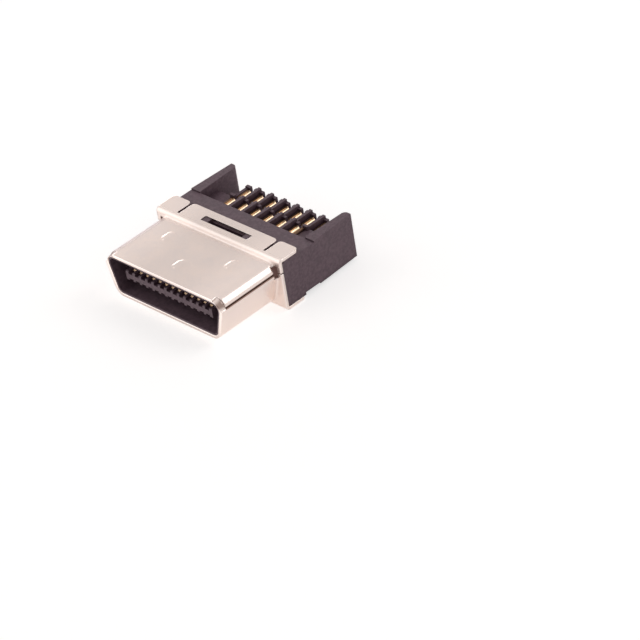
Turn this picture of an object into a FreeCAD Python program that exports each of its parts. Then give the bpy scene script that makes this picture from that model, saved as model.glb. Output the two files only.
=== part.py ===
# Cable plug with a D-shaped metal nose and 26 solder contacts, 13 on each face
# of its tongue, at 0.8 mm pitch.
#
# The nose points to -Y, the solder cups to +Y, and the wide side of the D is up.
# Every piece is drawn about the mid-plane between the two contact faces (z = 0)
# and the front face of the flange (y = 0). At the end all pieces are moved
# together, so that the origin lies under the middle of the plug, on the plane
# of the lower tabs.

import FreeCAD, Part
import math
import os

from FreeCAD import Vector

# Contact layout
pitch = 0.8
contacts_per_face = 13

# Sheet metal of the two shell halves
sheet = 0.28
bend_radius = 0.09
flare_radius = 0.12

# Nose, measured on the inside of its sheet
nose_length = 6.90
nose_side_room = 1.27
nose_half_height = 1.82
nose_corner = 0.75
nose_slant = 15.0
seam_height = 1.32
seam_gap = 0.16
cap_setback = 0.63
cap_notch_inset = 0.45
lug_gap = 0.03
lug_drop = 0.04
lug_thickness = 0.10

# Flange and its tabs
flange_margin = 0.16
flange_band = 0.02
tab_length = 2.37
tab_corner = 0.40
corner_tab_width = 2.31
slit_width = 0.30
slit_front = 0.50
slot_half_length = 2.90
slot_front = 0.83
slot_width = 0.72
slot_corner = 0.07
relief_inset = 0.13
relief_leg = 0.42
relief_bottom = 0.70
relief_top = 1.84
relief_depth = 0.40

# Grounding pips pressed outwards in the nose
pip_spacing = 3.95
pip_outer_place = 2.15
pip_middle_place = 4.65
pip_length = 1.50
pip_width = 1.05
pip_slope = 0.20
pip_height = 0.10

# Front insulator
fit_gap = 0.02
block_overhang = 0.08
block_edge = 0.20
liner = 0.15
liner_recess = 0.05
cavity_floor = 0.60
tongue_margin = 0.60
tongue_half_height = 0.48
tongue_recess = 0.50
tongue_edge = 0.08
groove_width = 0.50
pocket_half_length = 2.15
pocket_margin = 0.12
pocket_depth = 0.60
boss_gap = 0.05
boss_drop = 0.08

# Contacts
contact_sheet = 0.18
contact_width = 0.42
contact_floor = 0.255
contact_tip_recess = 0.50
contact_tip_chamfer = 0.12
riser_setback = 0.30

# Solder cups
cup_radius = 0.48
cup_wall = 0.22
cup_depth = 0.41
cup_clearance = 0.12
near_cup_length = 1.74
near_rim_height = 1.365
outer_cup_step = 0.64
outer_cup_length = 1.67

# Rear housing
housing_inset = 0.04
strip_inset = 0.51
strip_length = 1.85
seat_drop = 0.225
shelf_overhang = 0.30
wing_inset = 0.385
wing_root = 1.10
wing_tip = 0.75
wing_taper = 0.22
wing_rounding = 0.45
wing_overhang = 0.38
ridge_width = 0.33
ridge_rise = 0.43
ridge_setback = 0.04
stop_rise = 0.19
web_half_height = 0.10
tooth_width = 1.10
end_rib_rise = 0.05


# Heights, from the mid-plane outwards
tab_height = nose_half_height + flare_radius + flange_band + bend_radius + 2 * sheet
bend_start = tab_height - sheet - bend_radius
contact_top = contact_floor + contact_sheet
shelf_half_height = near_rim_height - seat_drop
tooth_half_height = contact_top - seat_drop
strip_half_height = tab_height - strip_inset
wing_half_height = tab_height - wing_inset

# Widths, from the contact rows outwards
slant = math.tan(math.radians(nose_slant))
slant_cosine = math.cos(math.radians(nose_slant))
tongue_half_width = (contacts_per_face - 1) / 2 * pitch + tongue_margin
nose_half_width = tongue_half_width + nose_side_room
nose_reach = nose_half_width + sheet / slant_cosine + slant * (nose_half_height + sheet)
flange_half_width = nose_reach + flange_margin
cap_notch_place = nose_half_width - cap_notch_inset
relief_inner = nose_half_width - relief_inset
relief_outer = flange_half_width - relief_leg
slit_place = flange_half_width - corner_tab_width
housing_half_width = flange_half_width - housing_inset

# Lengths, from the flange backwards
block_depth = tab_length + block_overhang
riser_place = block_depth + riser_setback
strip_end = block_depth + strip_length
near_cup_front = strip_end + cup_clearance
near_cup_end = near_cup_front + near_cup_length
shelf_end = near_cup_end + shelf_overhang
outer_cup_front = shelf_end + outer_cup_step
outer_cup_end = outer_cup_front + outer_cup_length
housing_end = outer_cup_end + wing_overhang
ridge_end = housing_end - ridge_setback


def box(x0, x1, y0, y1, z0, z1):
    """Block between two opposite corners."""
    return Part.makeBox(x1 - x0, y1 - y0, z1 - z0, Vector(x0, y0, z0))


def rounded_face(points, radii):
    """Flat face on a polygon whose corners are rounded with one radius each."""
    starts = []
    ends = []
    middles = []
    count = len(points)
    for i in range(count):
        corner = points[i]
        back = points[i - 1].sub(corner)
        ahead = points[(i + 1) % count].sub(corner)
        back.normalize()
        ahead.normalize()
        half = back.getAngle(ahead) / 2
        reach = radii[i] / math.tan(half)
        inward = back.add(ahead)
        inward.normalize()
        starts.append(corner.add(Vector(back).multiply(reach)))
        ends.append(corner.add(Vector(ahead).multiply(reach)))
        middles.append(corner.add(inward.multiply(radii[i] / math.sin(half) - radii[i])))
    edges = []
    for i in range(count):
        if radii[i] > 0:
            edges.append(Part.Arc(starts[i], middles[i], ends[i]).toShape())
        edges.append(Part.LineSegment(ends[i], starts[(i + 1) % count]).toShape())
    return Part.Face(Part.Wire(edges))


def d_face(growth, y):
    """D-shaped section. Growth moves every side outwards by the same amount."""
    height = nose_half_height + growth
    middle = nose_half_width + growth / slant_cosine
    wide = middle + slant * height
    narrow = middle - slant * height
    points = [
        Vector(-narrow, y, -height),
        Vector(narrow, y, -height),
        Vector(wide, y, height),
        Vector(-wide, y, height),
    ]
    return rounded_face(points, [nose_corner + growth] * 4)


def d_prism(growth, y0, y1):
    """D-shaped bar along Y."""
    return d_face(growth, y0).extrude(Vector(0, y1 - y0, 0))


def tab_plan(side):
    """Plan of the three tabs of one side: a band along the flange and three lobes."""
    z0 = min(0, side * 2 * tab_height)
    depth = 2 * tab_height
    half_slit = slit_width / 2
    spans = [
        (-flange_half_width, -slit_place - half_slit),
        (-slit_place + half_slit, slit_place - half_slit),
        (slit_place + half_slit, flange_half_width),
    ]
    plan = box(-flange_half_width, flange_half_width, -nose_length, slit_front, z0, z0 + depth)
    for left, right in spans:
        points = [
            Vector(left, 0, z0),
            Vector(right, 0, z0),
            Vector(right, tab_length, z0),
            Vector(left, tab_length, z0),
        ]
        lobe = rounded_face(points, [0, 0, tab_corner, tab_corner])
        plan = plan.fuse(lobe.extrude(Vector(0, 0, depth)))
    slot_rear = slot_front + slot_width
    reach = slot_half_length - slot_corner
    slot_points = [
        Vector(-reach, slot_front, z0),
        Vector(reach, slot_front, z0),
        Vector(slot_half_length, slot_front + slot_corner, z0),
        Vector(slot_half_length, slot_rear - slot_corner, z0),
        Vector(reach, slot_rear, z0),
        Vector(-reach, slot_rear, z0),
        Vector(-slot_half_length, slot_rear - slot_corner, z0),
        Vector(-slot_half_length, slot_front + slot_corner, z0),
    ]
    return plan.cut(rounded_face(slot_points, [0] * 8).extrude(Vector(0, 0, depth)))


def folded_flange(side):
    """Flange plate with its edge folded back over the insulator as the tabs."""
    outer = side * tab_height
    inner = side * (tab_height - sheet)
    points = [
        Vector(-flange_half_width, 0, -outer),
        Vector(-flange_half_width, sheet, -outer),
        Vector(-flange_half_width, sheet, inner),
        Vector(-flange_half_width, tab_length, inner),
        Vector(-flange_half_width, tab_length, outer),
        Vector(-flange_half_width, 0, outer),
    ]
    radii = [0, 0, bend_radius, 0, 0, bend_radius + sheet]
    strip = rounded_face(points, radii).extrude(Vector(2 * flange_half_width, 0, 0))
    tab = strip.common(tab_plan(side))
    plate = strip.common(box(-flange_half_width, flange_half_width, 0, sheet,
                             -tab_height, tab_height))
    return tab.fuse(plate)


def loop_edges(shape, y, half_width, half_height):
    """Edges of the D-shaped loop where nose and flange meet, at one value of y."""
    found = []
    for edge in shape.Edges:
        limits = edge.BoundBox
        flat = abs(limits.YMin - y) < 0.001 and abs(limits.YMax - y) < 0.001
        inside = limits.XMax < half_width and limits.XMin > -half_width
        if flat and inside and limits.ZMax < half_height and limits.ZMin > -half_height:
            found.append(edge)
    return found


def drawn_shell(side):
    """Nose tube flared out into the flange, before it is trimmed to one half."""
    body = folded_flange(side)
    body = body.fuse(d_prism(sheet, -nose_length, sheet / 2))
    body = body.cut(d_prism(0, -2 * nose_length, tab_length))
    body = body.removeSplitter()
    middle = nose_half_width + slant * nose_half_height
    front = loop_edges(body, 0, middle + 2 * sheet, nose_half_height + 1.5 * sheet)
    body = body.makeFillet(flare_radius, front)
    back = loop_edges(body, sheet, middle + sheet, nose_half_height + sheet / 2)
    return body.makeChamfer((flare_radius + sheet) * (2 - math.sqrt(2)), back)


def corner_reliefs():
    """Openings beside the nose's wide corners, where the two halves meet the flange."""
    tools = []
    for x0 in (-relief_outer, relief_inner):
        tools.append(box(x0, x0 + relief_outer - relief_inner, -relief_depth, 2 * sheet,
                         relief_bottom, relief_top))
    return tools


def pips(side):
    """Three low oval pips with sloping edges on one face of the nose."""
    surface = side * (nose_half_height + sheet)
    half = pip_width / 2
    growth = pip_slope / pip_height * sheet / 2
    root = surface - side * sheet / 2
    tip = surface + side * pip_height
    reach = (pip_length - pip_width) / 2
    up = Vector(0, 0, side)
    places = [
        (-pip_spacing, -pip_outer_place),
        (0, -pip_middle_place),
        (pip_spacing, -pip_outer_place),
    ]
    raised = []
    for x, y in places:
        section = [
            Vector(x - half - growth, y - reach, root),
            Vector(x + half + growth, y - reach, root),
            Vector(x + half - pip_slope, y - reach, tip),
            Vector(x - half + pip_slope, y - reach, tip),
        ]
        pip = rounded_face(section, [0] * 4).extrude(Vector(0, 2 * reach, 0))
        for end in (y - reach, y + reach):
            pip = pip.fuse(Part.makeCone(half + growth, half - pip_slope, sheet / 2 + pip_height,
                                         Vector(x, end, root), up))
        raised.append(pip.common(box(x - half, x + half, y - pip_length, y + pip_length,
                                     min(root, tip), max(root, tip))))
    return raised


def corner_lugs():
    """Lugs, thinner towards their front, that close the nose's two wide corners."""
    far = 2 * flange_half_width
    inner = cap_notch_place + lug_gap
    rear = -nose_length + cap_setback - lug_gap
    front_face = d_face(lug_thickness, -nose_length)
    rear_face = d_face(sheet - lug_drop, rear)
    ring = Part.makeLoft([front_face.OuterWire, rear_face.OuterWire], True, True)
    ring = ring.cut(d_prism(0, -2 * nose_length, nose_length))
    lugs = []
    for x0 in (-far, inner):
        lugs.append(ring.common(box(x0, x0 + far - inner, -nose_length, 0,
                                    seam_height - seam_gap - sheet, far)))
    return lugs


def lower_shell():
    """Tray-shaped half on the narrow side, with lugs that reach round the corners."""
    body = drawn_shell(-1)
    far = 2 * flange_half_width
    body = body.cut(box(-far, far, -2 * nose_length, far, seam_height - seam_gap, far))
    body = body.fuse(pips(-1) + corner_lugs())
    return body.cut(corner_reliefs()).removeSplitter()


def upper_shell():
    """Cap-shaped half on the wide side, with its front corners set back."""
    body = drawn_shell(1)
    far = 2 * flange_half_width
    body = body.cut(box(-far, far, -2 * nose_length, far, -far, seam_height))
    for x0 in (-far, cap_notch_place):
        body = body.cut(box(x0, x0 + far - cap_notch_place, -2 * nose_length,
                            -nose_length + cap_setback, -far, far))
    return body.fuse(pips(1)).cut(corner_reliefs()).removeSplitter()


def contact_place(index):
    """Place of one contact across the plug."""
    return (index - (contacts_per_face - 1) / 2) * pitch


def is_near(index):
    """Every second contact has its cup in the row near the flange."""
    return index % 2 == 1


def strip_profile(near, growth):
    """Side view of a contact strip from its tip to the solder cup."""
    low = contact_floor - growth
    high = contact_top + growth
    tip = -nose_length + tongue_recess + contact_tip_recess - growth
    lead_in = [
        Vector(0, tip + contact_tip_chamfer, high),
        Vector(0, tip, high - contact_tip_chamfer),
    ]
    if not near:
        end = outer_cup_front + cup_wall / 2
        points = [
            Vector(0, tip, low),
            Vector(0, end, low),
            Vector(0, end, high),
        ]
        return points + lead_in, [0] * 5
    end = near_cup_front + cup_wall / 2
    back = riser_place + contact_sheet + growth
    front = riser_place - growth
    under = near_rim_height - contact_sheet - growth
    over = near_rim_height + growth
    points = [
        Vector(0, tip, low),
        Vector(0, back, low),
        Vector(0, back, under),
        Vector(0, end, under),
        Vector(0, end, over),
        Vector(0, front, over),
        Vector(0, front, high),
    ]
    return points + lead_in, [0, contact_sheet, 0, 0, 0, contact_sheet, 0, 0, 0]


def strip_solid(index, side, growth):
    """The strip of one contact; growth gives the passage it lies in."""
    points, radii = strip_profile(is_near(index), growth)
    if growth > 0:
        radii = [0] * len(points)
    width = contact_width + 2 * growth
    solid = rounded_face(points, radii).extrude(Vector(width, 0, 0))
    solid.translate(Vector(contact_place(index) - width / 2, 0, 0))
    if side < 0:
        solid = solid.mirror(Vector(0, 0, 0), Vector(0, 0, 1))
    return solid


def cup_sizes(index):
    """Front, rear and rim height of one solder cup."""
    if is_near(index):
        return near_cup_front, near_cup_end, near_rim_height
    return outer_cup_front, outer_cup_end, contact_top


def solder_cup(index):
    """Half tube, open at the top and at the rear, with a rounded front end."""
    x = contact_place(index)
    front, rear, rim = cup_sizes(index)
    length = rear - front
    middle = front + cup_radius
    plan = Part.makeCylinder(cup_radius, cup_depth, Vector(x, middle, rim - cup_depth))
    plan = plan.fuse(box(x - cup_radius, x + cup_radius, middle, rear, rim - cup_depth, rim))
    cup = Part.makeCylinder(cup_radius, length, Vector(x, front, rim), Vector(0, 1, 0))
    cup = cup.cut(Part.makeCylinder(cup_radius - cup_wall, length,
                                    Vector(x, front + cup_wall, rim), Vector(0, 1, 0)))
    return cup.common(plan)


def contact(index, side):
    """One contact: a blade on the tongue, a strip through the plug and a cup."""
    cup = solder_cup(index)
    if side < 0:
        cup = cup.mirror(Vector(0, 0, 0), Vector(0, 0, 1))
    return strip_solid(index, side, 0).fuse(cup).removeSplitter()


def passages():
    """Room for all contact strips, cut out of both insulators."""
    tools = []
    for side in (1, -1):
        for index in range(contacts_per_face):
            tools.append(strip_solid(index, side, fit_gap))
    return tools


def tongue():
    """Centre tongue with a comb of grooves on both faces."""
    front = -nose_length + tongue_recess
    low = tongue_half_height - tongue_edge
    points = [
        Vector(-tongue_half_width, front, -low),
        Vector(-tongue_half_width, front, low),
        Vector(-tongue_half_width, front + tongue_edge, tongue_half_height),
        Vector(-tongue_half_width, 0, tongue_half_height),
        Vector(-tongue_half_width, 0, -tongue_half_height),
        Vector(-tongue_half_width, front + tongue_edge, -tongue_half_height),
    ]
    body = rounded_face(points, [0] * 6).extrude(Vector(2 * tongue_half_width, 0, 0))
    grooves = []
    for index in range(contacts_per_face):
        x = contact_place(index)
        half = groove_width / 2
        depth = contact_floor - fit_gap
        grooves.append(box(x - half, x + half, front - 1, -cavity_floor,
                           depth, 2 * tongue_half_height))
        grooves.append(box(x - half, x + half, front - 1, -cavity_floor,
                           -2 * tongue_half_height, -depth))
    return body.cut(grooves)


def front_insulator(channels):
    """Flange block, lining of the nose and the grooved tongue in one moulding."""
    half_height = tab_height - sheet - fit_gap
    front = sheet + fit_gap
    low = half_height - block_edge
    points = [
        Vector(-flange_half_width, front, -low),
        Vector(-flange_half_width, front, low),
        Vector(-flange_half_width, front + block_edge, half_height),
        Vector(-flange_half_width, block_depth, half_height),
        Vector(-flange_half_width, block_depth, -half_height),
        Vector(-flange_half_width, front + block_edge, -half_height),
    ]
    body = rounded_face(points, [0] * 6).extrude(Vector(2 * flange_half_width, 0, 0))
    lining = d_prism(-fit_gap, -nose_length + liner_recess, front)
    hollow = d_prism(-fit_gap - liner, -2 * nose_length, -cavity_floor)
    body = body.fuse(lining.cut(hollow)).fuse(tongue())
    boss_reach = slot_half_length - boss_gap
    boss_height = tab_height - boss_drop
    body = body.fuse(box(-boss_reach, boss_reach, slot_front + boss_gap,
                         slot_front + slot_width - boss_gap, -boss_height, boss_height))
    pocket_front = slot_front + pocket_margin
    pocket_rear = slot_front + slot_width - pocket_margin
    for side in (-1, 1):
        z0 = min(side * (half_height - pocket_depth), side * 2 * half_height)
        pocket = box(-pocket_half_length, pocket_half_length, pocket_front, pocket_rear,
                     z0, z0 + half_height + pocket_depth)
        rim = box(-pocket_half_length, pocket_half_length, slot_front, slot_front + slot_width,
                  min(side * half_height, side * tab_height),
                  max(side * half_height, side * tab_height))
        body = body.cut([pocket, rim])
    return body.cut(channels).removeSplitter()


def wing(side):
    """Side wing, thinner towards the rear, with its inner rear edge rounded."""
    tip = housing_half_width - wing_taper
    points = [
        Vector(side * (housing_half_width - wing_root), strip_end, -wing_half_height),
        Vector(side * housing_half_width, strip_end, -wing_half_height),
        Vector(side * tip, housing_end, -wing_half_height),
        Vector(side * (tip - wing_tip), housing_end, -wing_half_height),
    ]
    face = rounded_face(points, [0, 0, 0, wing_rounding])
    return face.extrude(Vector(0, 0, 2 * wing_half_height))


def ridge_places(near):
    """Places of the ridges: one between each two cups of a row."""
    cups = [contact_place(i) for i in range(contacts_per_face) if is_near(i) == near]
    return [(a + b) / 2 for a, b in zip(cups, cups[1:])]


def bar(centre, width, start, end, half_height):
    """Upright bar of the comb, the same on both faces of the plug."""
    return box(centre - width / 2, centre + width / 2, start, end, -half_height, half_height)


def comb():
    """Ridges that part the solder cups, teeth that carry the outer row, and the
    stops behind both rows of cups."""
    near_top = near_rim_height + ridge_rise
    outer_top = contact_top + ridge_rise
    near_stop = near_rim_height + stop_rise
    outer_stop = contact_top + stop_rise
    near_wall = near_cup_end + fit_gap
    outer_wall = outer_cup_end + fit_gap
    start = shelf_end - ridge_width
    pieces = []
    for x in ridge_places(True):
        pieces.append(bar(x, ridge_width, strip_end, shelf_end, near_top))
        pieces.append(bar(x, tooth_width, near_wall, shelf_end, near_stop))
    for x in ridge_places(False):
        pieces.append(bar(x, ridge_width, start, ridge_end, outer_top))
        pieces.append(bar(x, tooth_width, start, ridge_end, tooth_half_height))
        pieces.append(bar(x, tooth_width, outer_wall, ridge_end, outer_stop))
    channel = 2 * pitch - tooth_width
    rib = contact_place(0) - cup_radius - fit_gap - ridge_width / 2
    foot_width = contact_place(0) - channel / 2 - rib + ridge_width / 2
    foot = rib - ridge_width / 2 + foot_width / 2
    for side in (-1, 1):
        pieces.append(bar(side * rib, ridge_width, start, ridge_end,
                          contact_top + end_rib_rise))
        pieces.append(bar(side * foot, foot_width, start, ridge_end, tooth_half_height))
        pieces.append(bar(side * foot, foot_width, outer_wall, ridge_end, outer_stop))
        end_stop = contact_place(1) - pitch + tooth_width / 4
        pieces.append(bar(side * end_stop, tooth_width / 2, near_wall, shelf_end, near_stop))
    pieces.append(bar(0, -2 * foot, outer_wall, ridge_end, web_half_height))
    return pieces


def cup_seats():
    """Flat channels in the shelf and gaps between the teeth, in which the cups lie."""
    tools = []
    half = cup_radius + fit_gap
    for index in range(contacts_per_face):
        x = contact_place(index)
        front, rear, rim = cup_sizes(index)
        if is_near(index):
            floor = rim - cup_depth - fit_gap
            for z0, z1 in ((floor, rim), (-rim, -floor)):
                tools.append(box(x - half, x + half, front - fit_gap, rear + fit_gap, z0, z1))
        else:
            tools.append(box(x - half, x + half, front - fit_gap, rear + fit_gap, -rim, rim))
    return tools


def rear_housing(channels):
    """Strip behind the tabs, stepped shelf, comb and two side wings."""
    inner = housing_half_width - wing_root / 2
    body = box(-housing_half_width, housing_half_width, block_depth + fit_gap, strip_end,
               -strip_half_height, strip_half_height)
    shelf = box(-inner, inner, strip_end, shelf_end, -shelf_half_height, shelf_half_height)
    body = body.fuse([shelf, wing(-1), wing(1)] + comb()).removeSplitter()
    return body.cut(cup_seats()).cut(channels).removeSplitter()


def save(name, shape):
    """Moves a piece to the part's frame and writes it."""
    placed = shape.copy()
    placed.translate(Vector(0, (nose_length - housing_end) / 2, tab_height))
    solids = placed.Solids
    print(name, len(solids), round(placed.Volume, 4), placed.isValid())
    if len(solids) == 1:
        placed = solids[0]
    placed.exportStep("parts/" + name + ".step")


def main():
    os.makedirs("parts", exist_ok=True)
    channels = passages()
    save("upper_shell", upper_shell())
    save("lower_shell", lower_shell())
    save("front_insulator", front_insulator(channels))
    save("rear_housing", rear_housing(channels))
    number = 1
    for side in (1, -1):
        for index in range(contacts_per_face):
            save("contact_%02d" % number, contact(index, side))
            number += 1


main()
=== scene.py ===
# %% [markdown]
# # A small shielded cable plug, dressed for its portrait
#
# The plug comes from CAD as thirty separate solids: two halves of a nickel
# shell, two black plastic mouldings and twenty-six gold-plated contacts. Their
# shapes are finished, so this lesson is about looking closely at surfaces.
# A plug of 16 mm is seen here at eleven pixels to the millimetre, and at that
# size three things decide whether it looks real: the small roundings that catch
# light along each stamped or moulded edge, the faint unevenness of each finish,
# and the light itself.

import bmesh
import bpy
from mathutils import Matrix, Vector


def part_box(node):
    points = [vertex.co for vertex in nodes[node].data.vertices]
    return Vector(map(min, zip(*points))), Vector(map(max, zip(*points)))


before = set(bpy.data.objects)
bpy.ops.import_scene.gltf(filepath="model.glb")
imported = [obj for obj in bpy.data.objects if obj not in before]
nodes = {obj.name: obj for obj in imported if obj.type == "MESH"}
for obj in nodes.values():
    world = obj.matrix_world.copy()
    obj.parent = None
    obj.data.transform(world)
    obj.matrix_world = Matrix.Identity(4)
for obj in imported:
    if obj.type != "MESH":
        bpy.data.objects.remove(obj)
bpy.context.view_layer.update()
MM = 0.001

# %% [markdown]
# ## The camera
#
# The photograph was taken with a long lens from the front right and above, with
# the camera turned a little about its own axis. Such a camera is easiest to give
# by its three directions instead of by angles: the direction to the right of the
# picture, the direction down it, and the direction it looks in. The three were
# found by laying the contact rows, the slits and the flange corners over the
# photograph. A matrix with these directions as its columns turns the camera, and
# a lens of 216 mm gives the nearly parallel lines of the picture.

# %% Camera
to_right = Vector((0.713136, 0.688267, -0.133135))
downwards = Vector((0.320292, -0.488829, -0.811455))
forwards = to_right.cross(downwards).normalized()
upwards = to_right.cross(forwards).normalized()
stand = Vector((216.401, -177.052, 187.421)) * MM

camera_data = bpy.data.cameras.new("portrait_camera")
camera_data.sensor_width = 36.0
camera_data.lens = 215.66
camera_data.clip_start = 0.01
camera_data.clip_end = 10.0
camera = bpy.data.objects.new("portrait_camera", camera_data)
turn = Matrix((to_right, upwards, -forwards)).transposed().to_4x4()
camera.matrix_world = Matrix.Translation(stand) @ turn
bpy.context.scene.collection.objects.link(camera)
bpy.context.scene.camera = camera
print("camera looks along", [round(v, 3) for v in forwards])

# %% [markdown]
# ## Helpers for node trees
#
# Every finish below is a network of nodes. The helpers turn such a network into
# lines that read like sums: each of them adds one node, and most return the
# socket with its result, which can be handed straight to the next one. Where a
# helper takes a value, it takes a plain number or colour or another node's
# socket, because `feed` writes the one and links the other.

# %% Node helpers
COLOUR_A, COLOUR_B, COLOUR_OUT = 6, 7, 2  # colour sockets of a Mix node
WHITE = (1.0, 1.0, 1.0)


def feed(tree, socket, value):
    """Links another node's output to an input socket, or writes a plain value."""
    if isinstance(value, bpy.types.NodeSocket):
        tree.links.new(value, socket)
    elif socket.type == "RGBA":
        socket.default_value = (*value, 1)
    else:
        socket.default_value = value


def add(tree, kind, settings=None, **sockets):
    """Adds a node; settings are its properties, keywords its input sockets."""
    node = tree.nodes.new(kind)
    for name, value in (settings or {}).items():
        setattr(node, name, value)
    for name, value in sockets.items():
        feed(tree, node.inputs[name.replace("_", " ")], value)
    return node


def calc(tree, operation, *values, clamp=False):
    """The result of one Math node."""
    node = add(tree, "ShaderNodeMath", {"operation": operation, "use_clamp": clamp})
    for socket, value in zip(node.inputs, values):
        feed(tree, socket, value)
    return node.outputs[0]


def product(tree, first, *others):
    """Any number of values multiplied: with masks, the place where all hold."""
    for other in others:
        first = calc(tree, "MULTIPLY", first, other)
    return first


def fade(tree, value, start, end, before=0.0, after=1.0, smooth=False):
    """Goes from before to after while the value goes from start to end."""
    kind = "SMOOTHSTEP" if smooth else "LINEAR"
    node = add(tree, "ShaderNodeMapRange", {"interpolation_type": kind}, Value=value,
               From_Min=start, From_Max=end, To_Min=before, To_Max=after)
    return node.outputs["Result"]


def above(tree, value, start, end):
    """A mask with a soft border: 0 up to start, 1 from end on."""
    return fade(tree, value, start, end, smooth=True)


def below(tree, value, start, end):
    """A mask with a soft border: 1 up to start, 0 from end on."""
    return fade(tree, value, start, end, 1.0, 0.0, smooth=True)


def mix(tree, factor, first, second, blend="MIX"):
    """A colour between two others, or with MULTIPLY the first times the second."""
    node = add(tree, "ShaderNodeMix", {"data_type": "RGBA", "blend_type": blend},
               Factor=factor)
    feed(tree, node.inputs[COLOUR_A], first)
    feed(tree, node.inputs[COLOUR_B], second)
    return node.outputs[COLOUR_OUT]


def dot(tree, first, second):
    """The dot product of two directions, 1 where they agree."""
    node = add(tree, "ShaderNodeVectorMath", {"operation": "DOT_PRODUCT"})
    feed(tree, node.inputs[0], first)
    feed(tree, node.inputs[1], second)
    return node.outputs["Value"]


def position(tree):
    """X, Y and Z of the shaded point: for CAD pieces, in the shared frame."""
    place = tree.nodes.new("ShaderNodeTexCoord").outputs["Object"]
    axes = add(tree, "ShaderNodeSeparateXYZ", Vector=place).outputs
    return axes["X"], axes["Y"], axes["Z"]


def light_path(tree):
    """Light Path outputs, and a mask of camera, mirrored and refracted rays."""
    rays = tree.nodes.new("ShaderNodeLightPath").outputs
    seen = calc(tree, "ADD", rays["Is Camera Ray"], rays["Is Glossy Ray"], clamp=True)
    seen = calc(tree, "ADD", seen, rays["Is Transmission Ray"], clamp=True)
    return rays, seen


def new_material(name):
    """A material that is ready for nodes."""
    material = bpy.data.materials.new(name)
    material.use_nodes = True
    return material


print("node helpers ready")

# %% [markdown]
# ## An effect for every finish: fine unevenness
#
# Plated metal and moulded plastic are never quite even. Two sizes of noise do
# the work: broad clouds, about a millimetre wide, that change a surface's gloss,
# and a fine grain of a few hundredths of a millimetre that roughens it. A third
# output, a mottle mixed from both, drifts the tint. All three finishes need them
# in different amounts, so the noise sits in a shader node group with named
# inputs. It reads Object coordinates. Those are the same for all CAD pieces, so
# clouds run on from piece to piece unbroken.

# %% Group for clouds and grain
uneven = bpy.data.node_groups.new("clouds_and_grain", "ShaderNodeTree")
for name, value in (("Cloud Scale", 900.0), ("Grain Scale", 16000.0)):
    socket = uneven.interface.new_socket(name=name, in_out="INPUT",
                                         socket_type="NodeSocketFloat")
    socket.default_value = value
for name in ("Clouds", "Grain", "Mottle"):
    uneven.interface.new_socket(name=name, in_out="OUTPUT",
                                socket_type="NodeSocketFloat")

grain_share = 0.65
given = uneven.nodes.new("NodeGroupInput").outputs
results = uneven.nodes.new("NodeGroupOutput").inputs
place = uneven.nodes.new("ShaderNodeTexCoord").outputs["Object"]
clouds = add(uneven, "ShaderNodeTexNoise", Vector=place, Scale=given["Cloud Scale"],
             Detail=3.0, Roughness=0.55).outputs["Fac"]
grain = add(uneven, "ShaderNodeTexNoise", Vector=place, Scale=given["Grain Scale"],
            Detail=2.0, Roughness=0.6).outputs["Fac"]
mottle = add(uneven, "ShaderNodeMix", Factor=grain_share, A=clouds, B=grain)
feed(uneven, results["Clouds"], clouds)
feed(uneven, results["Grain"], grain)
feed(uneven, results["Mottle"], mottle.outputs["Result"])
print("group", uneven.name, "with", len(uneven.nodes), "nodes")

# %% [markdown]
# ## An effect for every finish: rubbed edges
#
# The Bevel node gives the direction a surface would face if its edges were
# rounded by a small radius. Where that direction differs from the real one there
# is an edge. The dot product of the two turns this into a mask, 0 on flat
# surfaces and 1 at an edge, and the mask tints metal edges a little brighter and
# plastic edges a little greyer, as handling does.

# %% Group for rubbed edges
rubbed = bpy.data.node_groups.new("rubbed_edges", "ShaderNodeTree")
rubbed.interface.new_socket(name="Soft Normal", in_out="INPUT",
                            socket_type="NodeSocketVector")
socket = rubbed.interface.new_socket(name="Sharpness", in_out="INPUT",
                                     socket_type="NodeSocketFloat")
socket.default_value = 6.0
rubbed.interface.new_socket(name="Edge", in_out="OUTPUT", socket_type="NodeSocketFloat")

given = rubbed.nodes.new("NodeGroupInput").outputs
results = rubbed.nodes.new("NodeGroupOutput").inputs
facing = rubbed.nodes.new("ShaderNodeNewGeometry").outputs["Normal"]
turned = calc(rubbed, "SUBTRACT", 1.0, dot(rubbed, given["Soft Normal"], facing))
feed(rubbed, results["Edge"],
     calc(rubbed, "MULTIPLY", turned, given["Sharpness"], clamp=True))
print("group", rubbed.name, "with", len(rubbed.nodes), "nodes")


# %% [markdown]
# ## One recipe for the three finishes
#
# Nickel, gold and plastic share a recipe: a colour that drifts between two
# tints, a third one at the edges and a fourth one, a painted shade, deep in
# recesses, a roughness that drifts between two values, and a bump from the grain
# on top of the softened edges. Recesses are found by the Ambient Occlusion node,
# which tells how open a point is within a given reach. The painted shade makes
# them darker and duller, because little light finds its way in and out of them,
# and a faint painted glow stands for the light that bounces about inside. The
# numbers differ, and so does Metallic, which is the same all over each surface
# and therefore stays a plain value on the shader.
#
# A finish can also differ from place to place. The cells below first build masks
# from the position on the plug and then hand them to the recipe: one for places
# that take the recess tint, as painted shade and on the gold rims as a stain,
# some that wash the colour with a painted sheen and a painted shade, and one that
# sets the least roughness.

# %% The recipe
TINT_STOPS = (0.40, 0.60)
CLOUD_RANGE = (0.3, 0.7)
OPEN_SPECULAR, HIDDEN_SPECULAR = 0.5, 0.06


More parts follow.
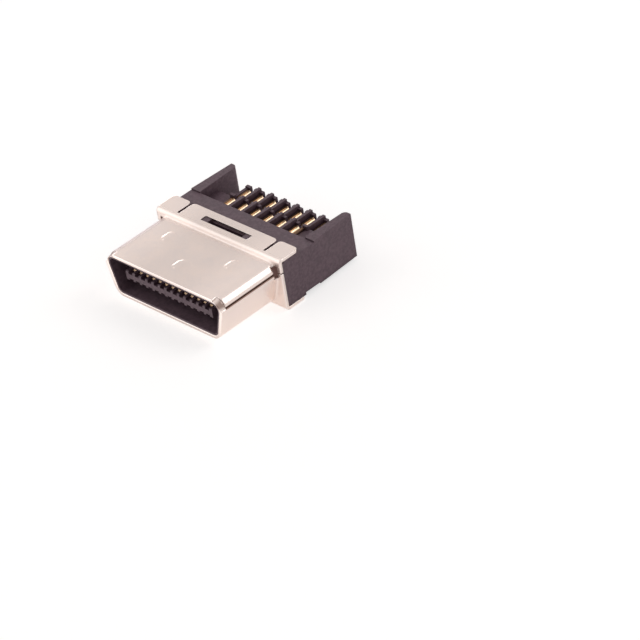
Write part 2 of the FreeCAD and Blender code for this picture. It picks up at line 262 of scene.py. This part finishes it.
def finish(material, metallic, tints, edge_tint, recess_shade_tint, recess_reach,
           recess_open, roughness, bump, rounding, cloud_scale, grain_scale,
           sharpness=6.0, recess_glow=0.0, shade_and_stain=0.0, washes=(),
           least_roughness=0.0):
    """Fills a material's tree with the recipe and returns its shader node."""
    tree = material.node_tree
    shader = tree.nodes["Principled BSDF"]
    feed(tree, shader.inputs["Metallic"], metallic)

    noise = add(tree, "ShaderNodeGroup", {"node_tree": uneven},
                Cloud_Scale=cloud_scale, Grain_Scale=grain_scale).outputs
    soft = add(tree, "ShaderNodeBevel", {"samples": 10}, Radius=rounding).outputs[0]
    edge = add(tree, "ShaderNodeGroup", {"node_tree": rubbed},
               Soft_Normal=soft, Sharpness=sharpness).outputs["Edge"]

    drift = add(tree, "ShaderNodeValToRGB", Fac=noise["Mottle"])
    for stop, place, tint in zip(drift.color_ramp.elements, TINT_STOPS, tints):
        stop.position = place
        stop.color = (*tint, 1)
    colour = mix(tree, edge, drift.outputs["Color"], edge_tint)
    for mask, wash in washes:
        colour = mix(tree, mask, colour, wash, "MULTIPLY")

    # painted shade: hidden places and the given shade-and-stain mask take the recess
    # tint, and a faint glow of it stands for light bouncing inside
    openness = add(tree, "ShaderNodeAmbientOcclusion", {"samples": 8},
                   Distance=recess_reach).outputs["AO"]
    hidden = fade(tree, openness, *recess_open, 1.0, 0.0)
    dark = calc(tree, "MAXIMUM", hidden, shade_and_stain)
    feed(tree, shader.inputs["Base Color"], mix(tree, dark, colour, recess_shade_tint))
    feed(tree, shader.inputs["Emission Color"], recess_shade_tint)
    feed(tree, shader.inputs["Emission Strength"],
         fade(tree, hidden, 0.0, 1.0, 0.0, recess_glow))
    feed(tree, shader.inputs["Specular IOR Level"],
         fade(tree, hidden, 0.0, 1.0, OPEN_SPECULAR, HIDDEN_SPECULAR))

    gloss = fade(tree, noise["Clouds"], *CLOUD_RANGE, *roughness)
    feed(tree, shader.inputs["Roughness"],
         calc(tree, "MAXIMUM", gloss, least_roughness))

    strength, depth = bump
    relief = add(tree, "ShaderNodeBump", Strength=strength, Distance=depth,
                 Height=noise["Grain"], Normal=soft)
    feed(tree, shader.inputs["Normal"], relief.outputs["Normal"])
    print("finish", material.name, "with", len(tree.nodes), "nodes")
    return shader


# %% [markdown]
# ## Nickel
#
# The shell is thin sheet with bright nickel plating, slightly warm in tone. It is
# smooth but not a mirror: under a soft light its flats are an even light grey,
# and only rolled edges turn white. Some places differ from the rest:
#
# - The nose was drawn out of the sheet, so its edges are rounder than those of
#   the tabs, and the flare between nose and flange is the roundest and dullest.
# - The lower half's lugs reach round the wide corners of the mouth. They get a
#   painted brown shade, and so do the cut edges along the seam between the halves.
# - The nose's rounded left edge would mirror the lamp behind it. A matt patch with
#   painted shade, in its colour and in its reflection, keeps it apart from the
#   white background.
# - A painted sheen makes the sheet a little brighter from its middle towards its sides.

# %% Nickel
nickel = new_material("bright_nickel")
tree = nickel.node_tree
shell_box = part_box("lower_shell")
nose_tip = shell_box[0][1]
flange_front = nose_tip + 6.9 * MM
x, y, z = position(tree)
aside = calc(tree, "ABSOLUTE", x)
on_nose = calc(tree, "LESS_THAN", y, flange_front - 0.30 * MM)

# rounding: that of the tabs, with more of it on the nose and at the flare
flare_middle = flange_front + 0.02 * MM
to_flare = calc(tree, "ABSOLUTE", calc(tree, "SUBTRACT", y, flare_middle))
nose_extra = fade(tree, y, flange_front - 0.45 * MM, flange_front - 0.25 * MM,
                  0.12 * MM, 0.0)
flare_extra = fade(tree, to_flare, 0.30 * MM, 0.50 * MM, 0.22 * MM, 0.0)
extra = calc(tree, "ADD", nose_extra, flare_extra)
rounding = calc(tree, "ADD", extra, 0.045 * MM)

# painted shade: brown on the lugs and along the seam
lug_painted_shade = 0.80
lugs = product(tree,
               above(tree, aside, 6.45 * MM, 6.80 * MM),
               below(tree, y, nose_tip + 0.50 * MM, nose_tip + 0.75 * MM),
               above(tree, z, 3.75 * MM, 4.15 * MM),
               lug_painted_shade)
seam = product(tree,
               above(tree, z, 3.65 * MM, 3.73 * MM),
               below(tree, z, 3.95 * MM, 4.01 * MM),
               on_nose,
               calc(tree, "GREATER_THAN", y, nose_tip + 0.60 * MM))

# the matt left edge with painted shade, the dull flare and the painted sheen on the
# sides
left_edge = product(tree,
                    below(tree, x, -6.35 * MM, -6.05 * MM),
                    above(tree, z, 4.20 * MM, 4.35 * MM),
                    on_nose)
left_roughness = product(tree, left_edge, 0.50)
flare_roughness = fade(tree, to_flare, 0.30 * MM, 0.50 * MM, 0.45, 0.0)
sides = above(tree, aside, 1.5 * MM, 6.5 * MM)
side_painted_sheen = (1.14, 1.14, 1.14)
left_painted_shade = (0.78, 0.77, 0.79)
left_reflection_shade = (0.70, 0.69, 0.71)

shader = finish(
    nickel, metallic=1.0,
    tints=((0.780, 0.722, 0.700), (0.845, 0.762, 0.712)),
    edge_tint=(0.92, 0.86, 0.84),
    recess_shade_tint=(0.26, 0.17, 0.14), recess_reach=0.30 * MM, recess_open=(0.04, 0.30),
    roughness=(0.24, 0.27), bump=(0.04, 0.003 * MM), rounding=rounding,
    cloud_scale=420.0, grain_scale=9000.0, sharpness=3.0, recess_glow=0.45,
    shade_and_stain=calc(tree, "MAXIMUM", lugs, seam),
    washes=((sides, side_painted_sheen), (left_edge, left_painted_shade)),
    least_roughness=calc(tree, "MAXIMUM", flare_roughness, left_roughness))
# painted shade on the left edge's reflection as well
feed(tree, shader.inputs["Specular Tint"],
     mix(tree, left_edge, WHITE, left_reflection_shade))

# %% [markdown]
# ## Gold
#
# The contacts are stamped copper alloy under a thin layer of gold, paler than
# jewellery. A solder cup is a half tube, and light from the tent reaches only
# the upper part of its walls. So the recess tint takes over by height as painted
# shade, from a quarter of a millimetre below the rim downwards. The tint also
# lies on the cut rim itself, which has lost its gold. The rows of cups have two
# rims, one for the outer row and one for the near row, and a point belongs to the
# near one when it lies above the middle between both. The blades inside the
# mouth have no rim, and stay half in the shade: a painted shade covers them as a
# whole.

# %% Gold
gold = new_material("gold_plating")
tree = gold.node_tree
middle = (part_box("contact_01")[1][2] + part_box("contact_14")[0][2]) / 2
outer_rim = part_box("contact_01")[1][2] - middle
near_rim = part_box("contact_02")[1][2] - middle
x, y, z = position(tree)
height = calc(tree, "ABSOLUTE", calc(tree, "SUBTRACT", z, middle))
is_near = calc(tree, "GREATER_THAN", height, (outer_rim + near_rim) / 2)
rim = fade(tree, is_near, 0.0, 1.0, outer_rim, near_rim)
below_rim = calc(tree, "SUBTRACT", rim, height)

# painted shade inside the cups and on the blades; on the cut rims a stain of bare metal
rim_stain, blade_painted_shade = 0.92, 0.68
blade_end, cup_start = -2.0 * MM, -1.9 * MM
inside = above(tree, below_rim, 0.20 * MM, 0.28 * MM)
on_rim = fade(tree, below_rim, 0.010 * MM, 0.020 * MM, rim_stain, 0.0)
cups = product(tree, calc(tree, "MAXIMUM", inside, on_rim),
               fade(tree, y, blade_end, cup_start))
blades = fade(tree, y, blade_end, cup_start, blade_painted_shade, 0.0)

finish(gold, metallic=1.0,
       tints=((1.0, 0.75, 0.50), (1.0, 0.79, 0.56)),
       edge_tint=(1.0, 0.80, 0.58),
       recess_shade_tint=(0.13, 0.065, 0.032), recess_reach=0.25 * MM,
       recess_open=(0.02, 0.30),
       roughness=(0.30, 0.36), bump=(0.04, 0.003 * MM), rounding=0.02 * MM,
       cloud_scale=1500.0, grain_scale=12000.0,
       shade_and_stain=calc(tree, "ADD", cups, blades))
print("rims above the middle plane, mm:",
      round(outer_rim / MM, 3), round(near_rim / MM, 3))

# %% [markdown]
# ## Black plastic
#
# Both mouldings are a glass-filled plastic that is not truly black: it reads as a
# dark warm grey, with a fine matt grain left by the mould, and its edges are a
# little lighter.
#
# Through the seam of the nose, and through the corner openings of the shell
# behind it, the plastic is seen between walls of nickel, which pass light on to
# it by many reflections. A brown glow stands for that light. It is kept to the
# faces that look outwards through the seam and to the part of the block that lies
# in the openings.

# %% Plastic
plastic = new_material("black_moulding")
tree = plastic.node_tree
x, y, z = position(tree)
aside = calc(tree, "ABSOLUTE", x)
facing = tree.nodes.new("ShaderNodeNewGeometry").outputs["Normal"]
leaning = add(tree, "ShaderNodeSeparateXYZ", Vector=facing).outputs["X"]
outward = product(tree, calc(tree, "SIGN", x), leaning)
by_seam = product(tree,
                  calc(tree, "GREATER_THAN", outward, 0.3),
                  calc(tree, "LESS_THAN", y, flange_front))
by_opening = product(tree,
                     calc(tree, "GREATER_THAN", y, flange_front),
                     calc(tree, "LESS_THAN", aside, 7.60 * MM))
seen_through = product(tree,
                       calc(tree, "MAXIMUM", by_seam, by_opening),
                       calc(tree, "LESS_THAN", y, flange_front + 0.6 * MM),
                       calc(tree, "GREATER_THAN", aside, 5.8 * MM))

# painted shade: this colour darkens the plastic in its recesses
plastic_recess_shade = (0.026, 0.013, 0.018)
passed_on = (0.095, 0.052, 0.044)
shader = finish(
    plastic, metallic=0.0,
    tints=((0.118, 0.078, 0.102), (0.174, 0.118, 0.148)),
    edge_tint=(0.18, 0.13, 0.16),
    recess_shade_tint=plastic_recess_shade, recess_reach=1.2 * MM, recess_open=(0.30, 0.85),
    roughness=(0.48, 0.60), bump=(0.40, 0.012 * MM), rounding=0.05 * MM,
    cloud_scale=900.0, grain_scale=3500.0, recess_glow=0.30)
trapped = shader.inputs["Emission Strength"].links[0].from_socket
feed(tree, shader.inputs["Emission Color"],
     mix(tree, seen_through, plastic_recess_shade, passed_on))
feed(tree, shader.inputs["Emission Strength"],
     calc(tree, "MAXIMUM", trapped, seen_through))

# %% [markdown]
# ## Dressing the pieces
#
# The CAD pieces keep their meshes. Each only has its material slot filled anew,
# by the kind of piece its name tells.

# %% Materials onto the pieces
dressed = {"upper_shell": nickel, "lower_shell": nickel,
           "front_insulator": plastic, "rear_housing": plastic}
for name, piece in nodes.items():
    piece.data.materials.clear()
    piece.data.materials.append(dressed.get(name, gold))
print("dressed", len(nodes), "pieces; the first has smooth faces:",
      nodes["upper_shell"].data.polygons[0].use_smooth)

# %% [markdown]
# ## Floor
#
# The plug lies on a plain white table, a hair below its lowest faces so that no
# two surfaces coincide. The table has to read as pure white in the picture, yet
# it must still take the plug's soft shadow. So its surface is an ordinary matt
# white, plus a little glow that only the camera and reflections see: the glow
# lifts the lit table to full white and leaves the shadow in place.
#
# Nickel mirrors the table all around. In reflections the glow is warmer, weaker
# at the sides, stronger in front, where it lights the mouth's rim, and weakest at
# the left back, which the nose's rounded left edge mirrors.

# %% Floor
table_mesh = bpy.data.meshes.new("white_table")
shape = bmesh.new()
bmesh.ops.create_grid(shape, x_segments=1, y_segments=1, size=1.5)
shape.to_mesh(table_mesh)
shape.free()
table = bpy.data.objects.new("white_table", table_mesh)
table.location.z = -0.02 * MM
bpy.context.scene.collection.objects.link(table)

glow_seen = 0.62
glow_mirrored, glow_left_back, glow_in_front = 0.47, 0.12, 0.42

table_white = new_material("table_white")
tree = table_white.node_tree
tree.nodes.remove(tree.nodes["Principled BSDF"])
x, y, z = position(tree)
left_back = product(tree,
                    below(tree, x, -22 * MM, -16 * MM),
                    above(tree, y, 4 * MM, 10 * MM))
in_front = fade(tree, y, -10.0 * MM, -8.6 * MM, glow_in_front, 0.0, smooth=True)
mirrored = calc(tree, "ADD",
                fade(tree, left_back, 0.0, 1.0, glow_mirrored, glow_left_back),
                in_front)
rays, seen = light_path(tree)
level = fade(tree, rays["Is Glossy Ray"], 0.0, 1.0, glow_seen, mirrored)
glow = add(tree, "ShaderNodeEmission",
           Color=mix(tree, rays["Is Glossy Ray"], WHITE, (1.0, 0.90, 0.86)),
           Strength=product(tree, seen, level))
paint = add(tree, "ShaderNodeBsdfDiffuse", Color=(0.80, 0.80, 0.80))
both = tree.nodes.new("ShaderNodeAddShader")
feed(tree, both.inputs[0], paint.outputs[0])
feed(tree, both.inputs[1], glow.outputs[0])
feed(tree, tree.nodes["Material Output"].inputs["Surface"], both.outputs[0])
table_mesh.materials.append(table_white)
print("table just under z = 0")

# %% [markdown]
# ## The white tent
#
# The picture's light is that of a white tent, even from all sides, and the world
# gives this even part. It is pure white for the camera, slightly warm for
# reflections and dimmer for the rest. The tent has one opening, for the lens, and
# where nickel faces the camera it mirrors that opening as a soft grey.

# %% World
light_on_matt, light_seen = 0.46, 1.0
world = bpy.data.worlds.new("white_tent")
bpy.context.scene.world = world
world.use_nodes = True
tree = world.node_tree
background = tree.nodes["Background"]
rays, seen = light_path(tree)
sky = tree.nodes.new("ShaderNodeTexCoord").outputs["Generated"]
opening = fade(tree, dot(tree, sky, -forwards), 0.80, 0.92)
tent = mix(tree, opening, (0.815, 0.750, 0.725), (0.40, 0.36, 0.35))
feed(tree, background.inputs["Color"], mix(tree, rays["Is Camera Ray"], tent, WHITE))
feed(tree, background.inputs["Strength"],
     fade(tree, seen, 0.0, 1.0, light_on_matt, light_seen))
print("world ready")

# %% [markdown]
# ## Three soft lamps
#
# A large lamp at the left front turns the folded edge of the flange white, and a
# smaller one behind on the right does the same for the rounded right edge of the
# nose. A third one, low behind on the left, draws the bright streaks along the
# pips.

# %% Lamps
def soft_lamp(name, direction, distance, size, watts):
    """A square softbox that faces the plug from one direction."""
    data = bpy.data.lights.new(name, "AREA")
    data.shape = "SQUARE"
    data.size = size
    data.energy = watts
    lamp = bpy.data.objects.new(name, data)
    away = Vector(direction).normalized()
    plug_middle = Vector((0, 0, 2.6 * MM))
    lamp.location = away * distance + plug_middle
    lamp.rotation_euler = away.to_track_quat("Z", "Y").to_euler()
    bpy.context.scene.collection.objects.link(lamp)
    print("lamp", name, "at", [round(v, 3) for v in lamp.location])


soft_lamp("tent_left_front", (-0.70, -0.55, 0.42), distance=0.60, size=0.60, watts=0.78)
soft_lamp("tent_right_back", (0.57, 0.54, 0.62), distance=0.55, size=0.30, watts=0.5)
soft_lamp("tent_left_back", (-0.83, 0.55, 0.13), distance=0.60, size=0.18, watts=0.25)

# %% [markdown]
# ## Colour
#
# The Standard view keeps colours as they are written.

# %% View and finish
bpy.context.scene.view_settings.view_transform = "Standard"
